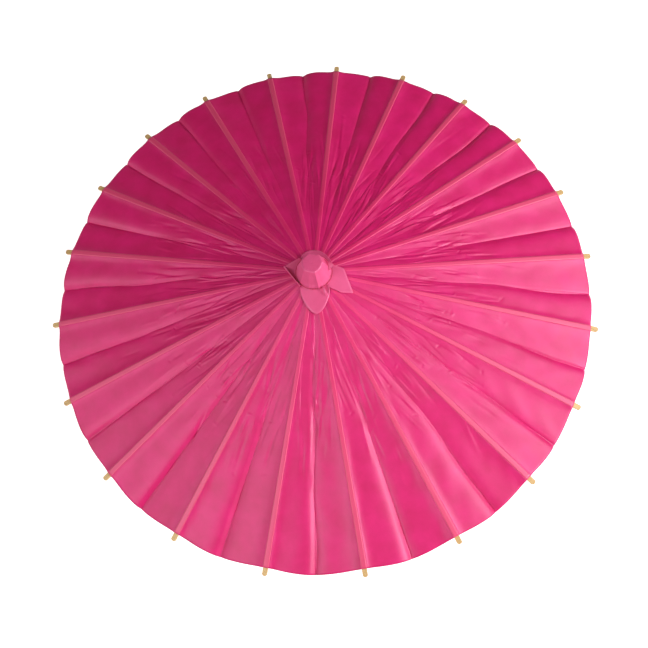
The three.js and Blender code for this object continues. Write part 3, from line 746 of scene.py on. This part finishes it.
def twisted_tuck():
    """The end of the front fold, twisted out from under the thread."""
    start, run = np.array(TWISTED_TUCK["start"]), np.array(TWISTED_TUCK["run"])

    def place(a, b):
        middle = start + run * a[:, None]
        middle[:, 2] += TWISTED_TUCK["arch"] * np.sin(pi * a)
        twist = TWISTED_TUCK["turn"] * (1 - a)
        half = TWISTED_TUCK["half_width"] * (1 - TWISTED_TUCK["taper"] * a) * (2 * b - 1)
        side = np.stack([0.85 * np.cos(twist), 0.5 * np.cos(twist), np.sin(twist)], axis=-1)
        return (middle + side * half[:, None]) * MM

    bm = bmesh.new()
    sheet_grid(bm, 24, 8, place)
    return bm


def side_tuck():
    """A pointed ear where two folds of the wrap cross, standing off the right side."""
    tip = np.array(SIDE_TUCK["tip"]) * MM

    def place(a, b):
        angle = SIDE_TUCK["from"] - SIDE_TUCK["turn"] * b
        height = (SIDE_TUCK["top"] - SIDE_TUCK["drop"] * b) * MM
        radius = cap_radius(height) * 0.99
        wall = np.stack([radius * np.cos(angle), radius * np.sin(angle), height], axis=-1)
        return wall + (tip - wall) * (0.97 * a[:, None]) ** 1.3

    bm = bmesh.new()
    sheet_grid(bm, 12, 14, place)
    return bm


def cap_wrap():
    """The wrapped head with its corners and tucks, as one piece of paper."""
    # The right corner is a slanting flap with three corners, the left one a point and a fold.
    right_edge = in_plan((11, -27, -37), np.array((37, 54, 41)) * MM)
    left_edge = in_plan((165, 136), np.array((40, 27)) * MM)
    parts = [
        wrapped_head(),
        flared_corner(-44, -132, petal_edge(), tip_lift=0.9, curl=2.0, roll=0.8),
        flared_corner(24, -46, right_edge, tip_lift=1.0, curl=0.8, roll=0.7),
        flared_corner(133, 24, round_edge(133, 24), tip_lift=1.6, curl=0.8, roll=0.8),
        flared_corner(228, 132, left_edge, tip_lift=6.5, curl=1.5, roll=3.5),
        twisted_tuck(),
        side_tuck(),
    ]
    whole = bmesh.new()
    for part in parts:
        thicken(part, CAP_THICK)
        mesh = bpy.data.meshes.new("cap_part")
        part.to_mesh(mesh)
        part.free()
        whole.from_mesh(mesh)
        bpy.data.meshes.remove(mesh)
    return piece_of("cap_wrap", whole)


# Doubled and redoubled paper, so little light comes through it. Its paler, whiter pink is painted
# sheen: the soft shine that the wrap's level top catches is put into its colour.
cap_paper = oiled_paper("oiled_paper_folded_painted_sheen", "#e04c7e", "#ee5a90", 0.48, 0.1)
cap = cap_wrap()
cap.data.materials.append(cap_paper)
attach(cap, "shaft_and_hub")
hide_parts("cap_paper")


# --- Cap tie --------------------------------------------------------------------------------
# A few turns of pink thread pull the wrap in under the head's shoulder. Their deep crimson is partly
# painted shade: it stands in for the dark shadow line where the wrap meets its flared corners.
finish("cap_tie", pink_thread)


# --- Studio ---------------------------------------------------------------------------------
# A plain white sweep under the handle, two soft lights low on the right, three weaker ones round
# the front and left, and almost nothing from behind, so the far side of the paper stays deep.
def white_sweep():
    bm = bmesh.new()
    bmesh.ops.create_grid(bm, x_segments=2, y_segments=2, size=6)
    bmesh.ops.translate(bm, verts=bm.verts[:], vec=(0, 0, -2 * MM))
    return piece_of("studio_floor", bm, smooth=False)


floor = white_sweep()
floor_white = new_material("white_paper_sweep")
floor_skin = node(floor_white, "ShaderNodeBsdfPrincipled", {
    "Base Color": linear("#f2f2f2"), "Roughness": 0.9,
    "Emission Color": linear("#ffffff"), "Emission Strength": 0.62})
node(floor_white, "ShaderNodeOutputMaterial", {"Surface": floor_skin.outputs["BSDF"]})
floor.data.materials.append(floor_white)

world = bpy.data.worlds.new("studio_air")
world.use_nodes = True
air = world.node_tree.nodes["Background"]
air.inputs["Color"].default_value = linear("#ffffff")
# The studio's walls are pale at the level of the floor's edge and dark overhead.
upward = node(world, "ShaderNodeSeparateXYZ", {
    "Vector": node(world, "ShaderNodeTexCoord").outputs["Generated"]}).outputs["Z"]
dimmed = node(world, "ShaderNodeMapRange", {
    "Value": upward, "From Min": 0.02, "From Max": 0.13, "To Min": 0.2, "To Max": 0.015})
world.node_tree.links.new(dimmed.outputs["Result"], air.inputs["Strength"])
bpy.context.scene.world = world
bpy.context.scene.view_settings.view_transform = "Standard"


def soft_light(name, turn, rise, distance, size, watts):
    """A square light that faces the canopy from an azimuth and an elevation in degrees."""
    turn, rise = radians(turn), radians(rise)
    way = Vector((cos(rise) * cos(turn), cos(rise) * sin(turn), sin(rise)))
    lamp = bpy.data.lights.new(name, "AREA")
    lamp.size = size
    lamp.energy = watts
    holder = bpy.data.objects.new(name, lamp)
    holder.location = Vector((0, 0, 0.42)) + way * distance
    holder.rotation_euler = way.to_track_quat("Z", "Y").to_euler()
    bpy.context.scene.collection.objects.link(holder)


soft_light("key_softbox", -22, 27, 2.2, 0.9, 43)
soft_light("right_softbox", 12, 27, 2.2, 0.9, 20)
soft_light("front_softbox", -120, 32, 2.2, 1, 11)
soft_light("high_softbox", -140, 50, 2.2, 1, 13)
soft_light("left_softbox", 182, 23, 2.2, 1, 11)


TIP_RADIUS = 360 * MM
CAMERA_LEAN_RIGHT, CAMERA_LEAN_FRONT = radians(4.3), radians(19.56)
CAMERA_REACH = 4.4  # distance to the rim's plane, and the shifts of its aim, in tip radii
CAMERA_RIGHT, CAMERA_UP = 0.0102, -0.0702


def add_camera():
    """The camera stands almost over the canopy, a little to the front and right of the shaft."""
    rim_height = PIVOT_HEIGHT - (TIP_RADIUS - PIVOT_RADIUS) * tan(DROOP)
    back = Vector((tan(CAMERA_LEAN_RIGHT), -tan(CAMERA_LEAN_FRONT), 1)).normalized()
    up = (Vector((0, 1, 0)) - back * back.y).normalized()
    right = up.cross(back)
    lens = bpy.data.cameras.new("camera")
    lens.sensor_width = 36
    lens.lens = 66.5
    holder = bpy.data.objects.new("camera", lens)
    place = (back * CAMERA_REACH + right * CAMERA_RIGHT + up * CAMERA_UP) * TIP_RADIUS
    place += Vector((0, 0, rim_height))
    turn = Matrix((right, up, back)).transposed().to_4x4()
    holder.matrix_world = Matrix.Translation(place) @ turn
    bpy.context.scene.collection.objects.link(holder)
    bpy.context.scene.camera = holder


add_camera()
